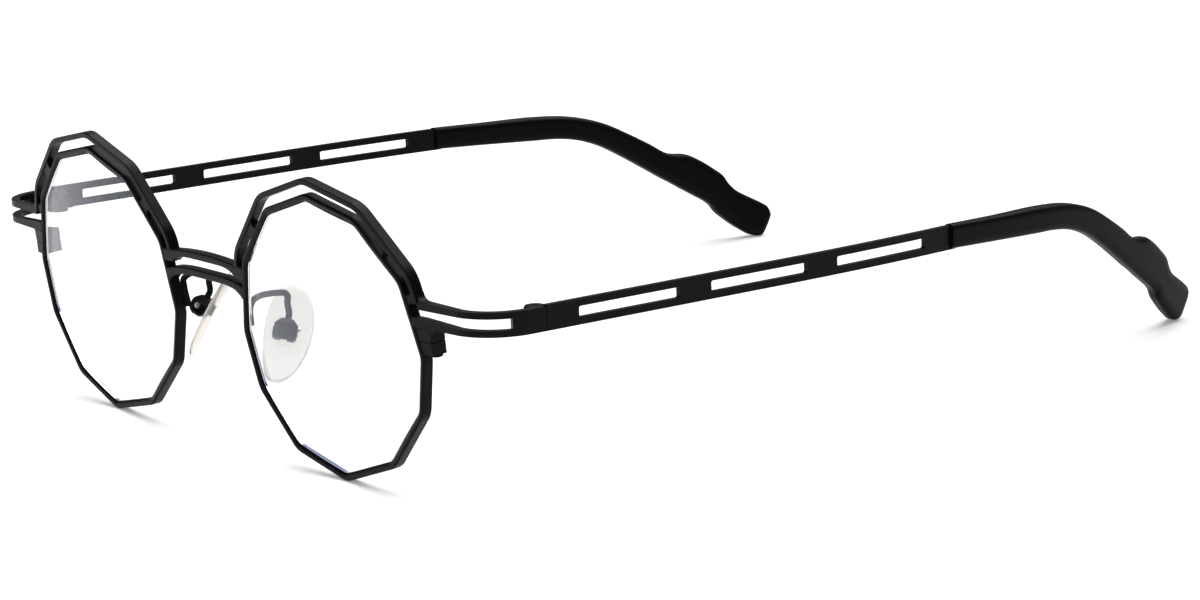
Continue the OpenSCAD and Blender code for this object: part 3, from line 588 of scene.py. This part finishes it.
def strip(start, stop_y, low, high, grow=0.0, rise=(0, 0)):
    """The strip as a skin; grow thickens it for a cutter, rise lifts its edges at the rim."""
    line = [(*front_point(along, 0, 0).xy, math.sin(sweep), -math.cos(sweep))
            for along in (start, 0.01)]
    last = math.pi / 2 if stop_y > turn_y else math.acos((turn_y - stop_y) / endpiece_r)
    for k in range(BEND_STEPS + 1):
        a = sweep + (last - sweep) * k / BEND_STEPS
        line.append((turn_x + endpiece_r * math.sin(a), turn_y - endpiece_r * math.cos(a),
                     math.sin(a), -math.cos(a)))
    if stop_y > turn_y:
        line.append((temple_x, stop_y, 1, 0))
    rings = []
    for x, y, ox, oy in line:
        near_rim = max(0, 1 - max(0, x - root_x) / RISE_LENGTH)
        under, top = low + rise[0] * near_rim, high + rise[1] * near_rim
        edges = ((grow, under), (grow, top), (-endpiece_t - grow, top), (-endpiece_t - grow, under))
        rings.append([Vector((x + ox * o, y + oy * o, z)) for o, z in edges])
    return loft(rings)


print("endpieces bend at", endpiece_r, "mm")

# %% [markdown]
# Two bars could be built one by one, but a slot cut through the whole strip keeps their
# edges in one line. The upper edge and the lower edge of the slot rise a little towards
# the rim, as the real strip widens there. Solder fills the corners above and below.


# %% Endpieces
def solder(corner, end, way, front):
    """A hollow fillet at a corner of the strip; way is 1 for up and -1 for down."""
    a = corner + Vector((endpiece_fillet, 0))
    b = Vector((end, corner.y + way * endpiece_fillet))
    curve = [a * (1 - t) ** 2 + corner * 2 * t * (1 - t) + b * t ** 2
             for t in (k / 8 for k in range(9))]
    into, under = 0.3, 0.4
    foot = [b - Vector((into, 0)), corner - Vector((into, way * under)),
            a - Vector((0, way * under))]
    return prism(curve + foot, front, endpiece_t - 0.01, front_point)


def endpiece():
    """The strip with its slot, cut off at the brow bar, and with solder in two corners."""
    low, high = -endpiece_low - endpiece_h / 2, -endpiece_low + endpiece_h / 2
    start = front_at(low, wire_w) - 0.5
    slot = strip(start - 5, end_y - endpiece_block, low + endpiece_bar_h, high - endpiece_bar_h,
                 grow=1.0, rise=(SLOT_RISE, 0))
    bm = combine(strip(start, end_y, low, high, rise=(0, RISE)), slot)
    sunk = 0.6
    inside = [(start - 1, -endpiece_low), (front_at(0, brow_out) - sunk, -endpiece_low),
              (front_at(high + 1, brow_out) - sunk, high + 1), (start - 1, high + 1)]
    bm = combine(bm, prism(inside, -3, 6, front_point))
    rim_end = front_at(high + endpiece_fillet, brow_out)
    above = Vector((front_at(high, brow_out), high + RISE))
    bm = combine(bm, solder(above, rim_end, way=1, front=0.01), "UNION")
    lock_end = (reach(TEMPLE_SIDE, lock_low, wire_w + lock_side) - root_x) / math.cos(sweep)
    below = Vector((lock_end, low))
    bm = combine(bm, solder(below, lock_end, way=-1, front=0.45), "UNION")
    return break_edges(bm, 0.2)


both_sides("endpiece", endpiece, SLOPE, lacquer)
print("endpiece slot", endpiece_h - 2 * endpiece_bar_h, "mm high")

# %% [markdown]
# ## Rim locks
# At the temple side of each rim two small blocks are soldered to the ends of the
# eyewire, beside and behind it. A short screw from below pulls them together and clamps
# the lens. Their faces on the rim lean with it, the others are upright, and they reach
# further back behind the lens than beside it. Their front lies flush with the outer edge
# of the eyewire, so that no dark step shows between them.

# %% Rim locks
lock_in, lock_screw_d = 0.25, 1.0
HEAD_R, HEAD_H, PROUD = 0.9, 0.4, 0.04


def lock_half(low, high):
    """One of the two blocks, from its outline seen from above at its lower and upper end."""
    sunk, slant, cut_side, cut_back = 0.12, 1.2, 0.5, 0.2
    front, room = wire_front / 2 + 0.01, wire_back - 0.03
    back = wire_back + SOLDER_GAP + lock_back
    inner = side_u(TEMPLE_SIDE, lock_low, lock_in)
    outer = side_u(TEMPLE_SIDE, lock_low, wire_w + lock_side)
    rings = []
    for z in (low, high):
        face = side_u(TEMPLE_SIDE, z, wire_w) - sunk
        outline = [(face, room), (inner, room), (inner, back + slant), (outer - cut_side, back),
                   (outer, back - cut_back), (outer, front), (face, front)]
        rings.append([placed(u, z, depth) for u, depth in outline])
    return break_edges(loft(rings), 0.15)


def screw_head(radius, height, shaft_r, shaft):
    """A slotted head, domed towards +z, on a shaft that runs down from z = 0."""
    head = turned([(shaft_r, -shaft), (shaft_r, 0), (radius * 0.92, 0), (radius, height * 0.15),
                   (radius, height * 0.5), (radius * 0.94, height * 0.8),
                   (radius * 0.8, height * 0.95), (radius * 0.3, height)])
    slot = box_mesh((-2 * radius, -radius * 0.1, height * 0.45),
                    (2 * radius, radius * 0.1, height * 2))
    return combine(head, slot)


both_sides("rim_lock_upper", lambda: lock_half(lock_mid + rim_cut / 2, lock_top), FRONT, lacquer)
both_sides("rim_lock_lower", lambda: lock_half(lock_low, lock_mid - rim_cut / 2), FRONT, lacquer)
lock_screw_u = side_u(TEMPLE_SIDE, lock_low, wire_w + lock_side / 2)
lock_screw_at = placed(lock_screw_u, lock_low - PROUD, wire_back + SOLDER_GAP)
both_sides("rim_lock_screw", lambda: screw_head(HEAD_R, HEAD_H, lock_screw_d / 2, lock_h - 0.35),
           FRONT, lacquer,
           at=Matrix.Translation(lock_screw_at) @ Matrix.Rotation(math.pi, 4, "X"))
print("locks from", round(lock_low, 2), "to", round(lock_top, 2), "mm")

# %% [markdown]
# ## Lenses
# A show lens is thin clear plastic with a slight dome, equally thick all over. Its edge
# is ground to a ridge that sits in the groove, and seen at a slant that ridge is the
# grey band inside the rim. Light bends at both faces, so the mesh is fine: a coarse dome
# would ripple what is seen through it.

# %% Lenses
lens_t, lens_rise, dome_r, lens_gap = 1.2, 1.1, 21.6, 0.08
LENS_STEP, LENS_RINGS = 1.2, 24


def lens():
    """The lens from the middle of its front over the ridged edge to the middle of its back."""
    line = []
    for i in range(12):
        arc, following = corner_arc(i), corner_arc(i + 1)[0][0]
        last, out = arc[-1]
        count = round((following - last).length / LENS_STEP)
        line += arc + [(last.lerp(following, k / count), out) for k in range(1, count)]
    front = groove_mid - lens_t / 2

    def face(share, depth):
        points = [point * share - way * (lens_gap if share == 1 else 0) for point, way in line]
        return [placed(p.x, p.y, depth - lens_rise * (1 - (p.length / dome_r) ** 2))
                for p in points]

    def edge(out, depth):
        return [placed(*(point + way * out), depth) for point, way in line]

    spread = [k / LENS_RINGS for k in range(1, LENS_RINGS + 1)]
    ridge = [edge(-lens_gap, groove_mid - groove_w / 4), edge(groove_depth - 0.1, groove_mid),
             edge(-lens_gap, groove_mid + groove_w / 4)]
    return loft([face(share, front) for share in spread] + ridge
                + [face(share, front + lens_t) for share in spread[::-1]])


both_sides("lens", lens, FRONT, lens_plastic, crisp=25)
print("lenses", lens_t, "mm thick")

# %% [markdown]
# ## Nose pad arms
# A thin wire is soldered behind each rim, rises, bends back over in a loop that the
# optician can adjust, and comes down into a small box. A screw across the box holds the pad.

# %% Pad arms
arm_d = 1.0
pad_screw_at = Vector((nose_gap / 2 + 1.9, 5.45, -2.9))
pad_box = Vector((3.6, 3.2, 2.6))
pad_slot_w, pad_tab_h, pad_box_wall, pad_screw_d = 1.0, 1.7, 0.35, 1.0
PAD = (Matrix.Translation(pad_screw_at) @ Matrix.Rotation(math.radians(53), 4, "Z")
       @ Matrix.Rotation(math.radians(17.5), 4, "Y") @ Matrix.Rotation(math.radians(58.6), 4, "X"))


def tube(line, radius, around=16):
    """Round wire along a line, its rings kept from twisting."""
    side = Vector((1, 0, 0))
    rings = []
    for i, p in enumerate(line):
        along = (line[min(i + 1, len(line) - 1)] - line[max(i - 1, 0)]).normalized()
        side = (side - along * side.dot(along)).normalized()
        over = along.cross(side)
        turns = [2 * math.pi * k / around for k in range(around)]
        rings.append([p + (side * math.cos(a) + over * math.sin(a)) * radius for a in turns])
    return loft(rings)


def arm_wire():
    """The wire from its foot behind the rim over the loop into the box."""
    foot_y = placed(-lens_w / 2, 0, wire_back).y + arm_d / 2 + SOLDER_GAP
    foot = [Vector((reach(NOSE_SIDE, z, wire_w), foot_y, z)) for z in (-1.6, 1.6)]
    end = pad_screw_at + Vector((-0.85, 1.6, 5.05))
    run_x, run_y = end.x - foot[1].x, end.y - foot[1].y
    loop = [Vector((foot[1].x + run_x * over, foot[1].y + run_y * back, end.z + up))
            for over, back, up in ((0.34, 0.05, 0.3), (0.59, 0.22, 0.75), (0.8, 0.49, 0.8),
                                   (0.93, 0.76, 0.6), (1, 0.93, 0.3))]
    fall = [end + Vector((0.03, -0.07, -0.25)), end + Vector((0.08, -0.27, -1.05))]
    box_end = [PAD @ Vector((0, pad_box.y / 2 + y, 0)) for y in (0.9, -0.4)]
    return tube(smooth_line(foot + loop + fall + box_end), arm_d / 2)


def arm_box():
    """The box: what its outlines from the front and the side share, slotted for the tab."""
    half, bevel, shoulder, neck = pad_box / 2, 0.4, 0.4, 0.9
    front = [(-half.x, shoulder), (-half.x, bevel - half.y), (bevel - half.x, -half.y),
             (half.x - bevel, -half.y), (half.x, bevel - half.y), (half.x, shoulder),
             (neck, half.y), (-neck, half.y)]
    side = [(-half.y, bevel - half.z), (bevel - half.y, -half.z), (half.y - bevel, -half.z),
            (half.y, -half.z / 2), (half.y, half.z / 2), (half.y - 2 * bevel, half.z),
            (2 * bevel - half.y, half.z), (-half.y, half.z - 2 * bevel)]
    block = combine(prism(front, -half.z, half.z, lying), prism(side, -half.x, half.x, standing),
                    "INTERSECT")
    cut = [(-half.y - 1, -half.z - 1), (half.y - pad_box_wall, -half.z - 1),
           (half.y - pad_box_wall, half.z - pad_box_wall), (-pad_tab_h / 2, half.z - pad_box_wall),
           (-half.y, 0), (-half.y - 1, 0)]
    slot = prism(cut, -pad_slot_w / 2, pad_slot_w / 2, standing)
    block = break_edges(combine(block, slot), 0.14)
    block.transform(PAD)
    return block


both_sides("pad_arm", lambda: combine(arm_wire(), arm_box(), "UNION"), FRONT, lacquer)
across_box = (PAD @ Matrix.Rotation(math.pi / 2, 4, "Y")
              @ Matrix.Translation((0, 0, pad_box.x / 2 + PROUD)))
both_sides("pad_screw", lambda: screw_head(HEAD_R, HEAD_H, pad_screw_d / 2, pad_box.x + 0.2),
           FRONT, nickel, at=across_box)
print("pad arms", arm_d, "mm wire")

# %% [markdown]
# ## Nose pads
# The pads are soft clear silicone, moulded round a small metal tab. Seen flat they are
# D-shaped, with the flatter side to the front, and fuller at the upper end. Their edges
# are rounded, and the tab shows through.

# %% Nose pads
pad_len, pad_w, pad_t, pad_stand = 15.7, 8.1, 1.7, 2.8
PAD_FLAT, PAD_EGG, PAD_FLAT_EGG = 0.8, 0.06, 0.22
PAD_PROFILE = (
    (0.1, 1.0), (0.35, 0.995), (0.6, 0.965), (0.78, 0.9), (0.9, 0.8), (0.97, 0.65), (1.0, 0.48),
    (0.985, 0.3), (0.94, 0.12), (0.87, 0.03), (0.8, 0.0), (0.3, 0.0))


def pad_ring(share, z, around=40):
    """The pad's outline at share of its size: flatter to the front, fuller at the top."""
    ring = []
    for k in range(around):
        a = -2 * math.pi * k / around
        across, egg = math.cos(a), PAD_EGG
        if across < 0:
            across, egg = -PAD_FLAT * (-across) ** 0.65, PAD_FLAT_EGG
        ring.append(Vector((across * pad_w / 2 * share * (1 + egg * math.sin(a)),
                            math.sin(a) * pad_len / 2 * (1 - (1 - share) * pad_w / pad_len), z)))
    return ring


def nose_pad():
    """The pad with the round boss that the tab comes out of."""
    back = pad_t / 2 - pad_stand
    pad = loft([pad_ring(share, back - pad_t * depth) for share, depth in PAD_PROFILE])
    boss = turned([(1.0, back - 0.1), (2.0, back - 0.1), (2.0, back + 0.15),
                   (1.85, back + 0.3), (1.0, back + 0.3)], 32)
    return combine(pad, boss, "UNION")


both_sides("nose_pad", nose_pad, FRONT, pad_silicone, "pad_{side}", crisp=50, at=PAD)
print("pads", pad_len, "by", pad_w, "mm")

# %% [markdown]
# ## Temples
# A temple is a strip of spring steel, one millimetre thick, with three long slots. It
# runs straight back, then bends in a wide curve towards the head. The strip is made
# whole, its slots are cut through, and all the edges are broken at once.

# %% Temples
strip_t, strip_h, strip_len = 1.0, 3.8, 77.3
slot_count, slot_len, slot_h, slot_pitch, slot_start = 3, 18.2, 1.62, 23.95, 5.7
bend_start, bend_r, bend_lean = 44.3, 278.0, math.radians(25.8)
bend_from = (hinge_y + bend_start) * math.cos(bend_lean)
strip_mid_x = temple_x - strip_t / 2
tip_y = hinge_y + strip_len


def bend_in(y, z):
    """How far the temple's curve has come in at a point."""
    q = y * math.cos(bend_lean) - z * math.sin(bend_lean)
    return max(0, q - bend_from) ** 2 / (2 * bend_r)


def temple():
    """The whole strip, bent towards the head, with its three slots cut through."""
    start, stop, count = hinge_y + fold_gap / 2, tip_y + 1.0, 48
    edges = [(1, -strip_h / 2), (1, strip_h / 2), (-1, strip_h / 2), (-1, -strip_h / 2)]
    rings = []
    for k in range(count + 1):
        y = start + (stop - start) * k / count
        rings.append([Vector((strip_mid_x - bend_in(y, z) + side * strip_t / 2, y, z))
                      for side, z in edges])
    bm = loft(rings)
    for k in range(slot_count):
        y = hinge_y + slot_start + k * slot_pitch
        outline = soften([(y, -slot_h / 2), (y + slot_len, -slot_h / 2), (y + slot_len, slot_h / 2),
                          (y, slot_h / 2)], 0.35, 4)
        bm = combine(bm, prism(outline, temple_x - 12, temple_x + 2, standing))
    return break_edges(bm, 0.1)


both_sides("temple", temple, SLOPE, lacquer, "temple_arm_{side}")
print("temples", strip_len, "mm to the tip")

# %% [markdown]
# ## Temple tips
# The tips are moulded over the end of the strip: thicker, with rounded edges, a bend
# over the ear and a stepped end. A smooth line runs through the points of its upper and
# lower edge, close enough that the steps stay crisp.

# %% Temple tips
tip_t_front, tip_t_end, tip_swell = 2.2, 3.3, 24.0
tip_upper = [
    (0, 2.05), (10, 1.8), (22.4, 1.5), (26.5, 1.1), (30.5, 0.25), (34.4, -1.15), (38, -3.05),
    (42.5, -5.7), (46.2, -7.95), (47.6, -8.2), (49.4, -8.4), (51.4, -9.4), (54.6, -11.7),
    (56, -12.9), (57, -14.6), (58, -15.8), (60.5, -17.45), (62.6, -18.7), (63.8, -19.6),
    (64.3, -20.8)]
tip_lower = [
    (0, -1.8), (10, -2.2), (20, -2.64), (24, -2.8), (27, -3.2), (30.1, -4), (33.1, -5.2),
    (36.9, -7.4), (42, -10.75), (44.6, -12.5), (46.2, -13.5), (48.2, -14.85), (50.6, -16.4),
    (52.4, -17.6), (53.3, -18.4), (54.2, -19.8), (55.6, -21.2), (58.3, -23.4), (60.7, -24.8),
    (61.9, -24.95)]
tip_shape = soften([
    (1, -0.55), (1, 0.55), (0.84, 0.86), (0.45, 1), (-0.45, 1), (-0.84, 0.86), (-1, 0.55),
    (-1, -0.55), (-0.84, -0.86), (-0.45, -1), (0.45, -1), (0.84, -0.86)], 0.14, 2)


def temple_tip(steps=4):
    """The tip: a rounded section between its upper and lower line, thicker from the bend on."""
    upper, lower = smooth_line(tip_upper, steps), smooth_line(tip_lower, steps)
    rings = []
    for i, (over, under) in enumerate(zip(upper, lower)):
        half_t = (tip_t_front + (tip_t_end - tip_t_front) * min(1, over.x / tip_swell)) / 2
        left = len(upper) - 1 - i
        half_t *= 1 if left > steps else 0.75 + 0.25 * math.sin(math.pi / 2 * left / steps)
        ring = []
        for across, up in tip_shape:
            p = over.lerp(under, (1 - up) / 2)
            x = strip_mid_x - bend_in(tip_y + p.x, p.y) + across * half_t
            ring.append(Vector((x, tip_y + p.x, p.y)))
        rings.append(ring)
    return break_edges(loft(rings), 0.25, angle=50, flat=0.01)


both_sides("temple_tip", temple_tip, SLOPE, tip_plastic, "temple_arm_{side}", crisp=50)
print("tips", tip_t_end, "mm thick at their ends")

# %% [markdown]
# ## Hinges and tabs
# The barrel hinges, their leaves and the metal tabs in the pads are plain turned and
# stamped shapes, so the part's own solids stay and only get a broken edge and a finish.

# %% Hinges and tabs
barrel_d, barrel_h, hinge_low = 3.1, 3.1, 0.3
hinge_head_h, hinge_shaft_r = 0.25, 0.65
BROKEN_EDGE = 0.08
hinge_x = temple_x - endpiece_t - barrel_d / 2 - fold_gap
for side in MIRROR:
    for node, material in ((f"hinge_front_leaf_{side}", lacquer),
                           (f"hinge_temple_leaf_{side}", lacquer),
                           (f"pad_tab_{side}", tab_steel)):
        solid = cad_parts[node]
        solid.data.materials.clear()
        solid.data.materials.append(material)
        broken = solid.modifiers.new("broken edge", "BEVEL")
        broken.width, broken.segments = BROKEN_EDGE / 1000, 2
        broken.angle_limit = math.radians(40)


def hinge_screw():
    """The pin through the three knuckles, its head a little smaller than the barrel."""
    return screw_head(barrel_d / 2 - 0.1, hinge_head_h, hinge_shaft_r, barrel_h - 0.16)


both_sides("hinge_screw", hinge_screw, SLOPE, lacquer,
           at=Matrix.Translation((hinge_x, hinge_y, barrel_h / 2 - hinge_low + PROUD)))
print("hinges finished")

# %% [markdown]
# ## Table and room
# The photo shows the glasses on white with soft shadows under what touches the table.
# The table is white paint, and what the camera, mirrors and lenses see of it is lifted
# to full white, so only the shadows stay. The room around it lights the part weakly and
# evenly. What mirrors and clear edges see of it gets darker and bluer to the ceiling.

# %% Table and room
TABLE_LIFT, ROOM_LIGHT, ROOM_MIRRORED = 0.22, 0.22, 0.3
table = bpy.data.meshes.new("table")
table_half = 6.0
table_corners = [(x * table_half, y * table_half, 0)
                 for x, y in ((-1, -1), (1, -1), (1, 1), (-1, 1))]
table.from_pydata(table_corners, [], [(0, 1, 2, 3)])
table_top = bpy.data.objects.new("table", table)
bpy.context.collection.objects.link(table_top)


def seen_by(tree, *kinds):
    """1 for the named kinds of ray, 0 for the others."""
    rays = add_node(tree, "ShaderNodeLightPath")
    seen = rays.outputs[kinds[0]]
    for kind in kinds[1:]:
        seen = add_node(tree, "ShaderNodeMath", links={0: seen, 1: rays.outputs[kind]},
                        operation="MAXIMUM").outputs[0]
    return seen


white_board = bpy.data.materials.new("white painted board")
white_board.use_nodes = True
tree = white_board.node_tree
tree.nodes.clear()
eye = seen_by(tree, "Is Camera Ray", "Is Glossy Ray", "Is Transmission Ray")
lift = add_node(tree, "ShaderNodeMath", {1: TABLE_LIFT}, {0: eye}, operation="MULTIPLY")
paint = add_node(tree, "ShaderNodeBsdfDiffuse", {"Color": hex_rgb("#f0f0f0")})
glow = add_node(tree, "ShaderNodeEmission", {"Color": (1, 1, 1, 1)}, {"Strength": lift.outputs[0]})
both = add_node(tree, "ShaderNodeAddShader", links={0: paint.outputs[0], 1: glow.outputs[0]})
add_node(tree, "ShaderNodeOutputMaterial", links={"Surface": both.outputs[0]})
table.materials.append(white_board)

room = bpy.data.worlds.new("white room")
room.use_nodes = True
tree = room.node_tree
tree.nodes.clear()
around = add_node(tree, "ShaderNodeTexCoord").outputs["Generated"]
way = add_node(tree, "ShaderNodeSeparateXYZ", links={0: around})
wall = add_node(tree, "ShaderNodeValToRGB", links={0: way.outputs["Z"]})
horizon, ceiling = wall.color_ramp.elements
horizon.position, horizon.color = 0.12, hex_rgb("#fbfcff")
ceiling.position, ceiling.color = 0.6, hex_rgb("#7d8fc0")
eye = seen_by(tree, "Is Camera Ray", "Is Transmission Ray")
level = add_node(tree, "ShaderNodeMapRange", {"To Min": ROOM_MIRRORED, "To Max": 1.0},
                 {"Value": eye})
seen = add_node(tree, "ShaderNodeBackground",
                links={"Color": wall.outputs[0], "Strength": level.outputs[0]})
lit = add_node(tree, "ShaderNodeBackground", {"Color": (1, 1, 1, 1), "Strength": ROOM_LIGHT})
shown = seen_by(tree, "Is Camera Ray", "Is Glossy Ray", "Is Transmission Ray")
air = add_node(tree, "ShaderNodeMixShader", links={0: shown, 1: lit.outputs[0], 2: seen.outputs[0]})
add_node(tree, "ShaderNodeOutputWorld", links={"Surface": air.outputs[0]})
bpy.context.scene.world = room
print("table and room ready")

# %% [markdown]
# ## Lamps
# The main light is a wide soft patch overhead, a little behind, which lights the upper
# faces and leaves the fronts nearly black. A weak one from the front keeps them from
# going quite dark. Area lamps near the part could do the same, but distant light falls
# evenly, so the table is equally white everywhere.


# %% Lamps
def soft_light(name, place, across, strength):
    """Even light from the direction of place, from a patch of sky so many degrees across."""
    light = bpy.data.lights.new(name, "SUN")
    light.angle, light.energy = math.radians(across), strength
    lamp = bpy.data.objects.new(name, light)
    lamp.location = place
    lamp.rotation_mode = "QUATERNION"
    lamp.rotation_quaternion = (-Vector(place)).to_track_quat("-Z", "Y")
    bpy.context.collection.objects.link(lamp)


soft_light("overhead", (-0.15, 0.35, 0.9), across=66, strength=3.15)
soft_light("front fill", (0.3, -0.9, 0.7), across=40, strength=0.45)
print("lamps ready")

# %% [markdown]
# ## Camera
# The camera was found by matching corners of both rims, the slots and the tips with
# their places in the photo: a long lens from the wearer's left front, a little above.

# %% Camera and finish
view = bpy.data.cameras.new("photo view")
view.sensor_width = 36.0
view.lens = 122.99
camera = bpy.data.objects.new("photo view", view)
look = (Matrix.Rotation(math.radians(53.60), 4, "Z") @ Matrix.Rotation(math.radians(5.93), 4, "Y")
        @ Matrix.Rotation(math.radians(75.85), 4, "X"))
camera_place = Matrix.Rotation(stand_tilt, 4, "X") @ look
camera_place.translation = FRONT @ Vector((541.1, -304.6, 149.43))
camera.matrix_world = camera_place
bpy.context.collection.objects.link(camera)
bpy.context.scene.camera = camera
bpy.context.scene.view_settings.view_transform = "Standard"
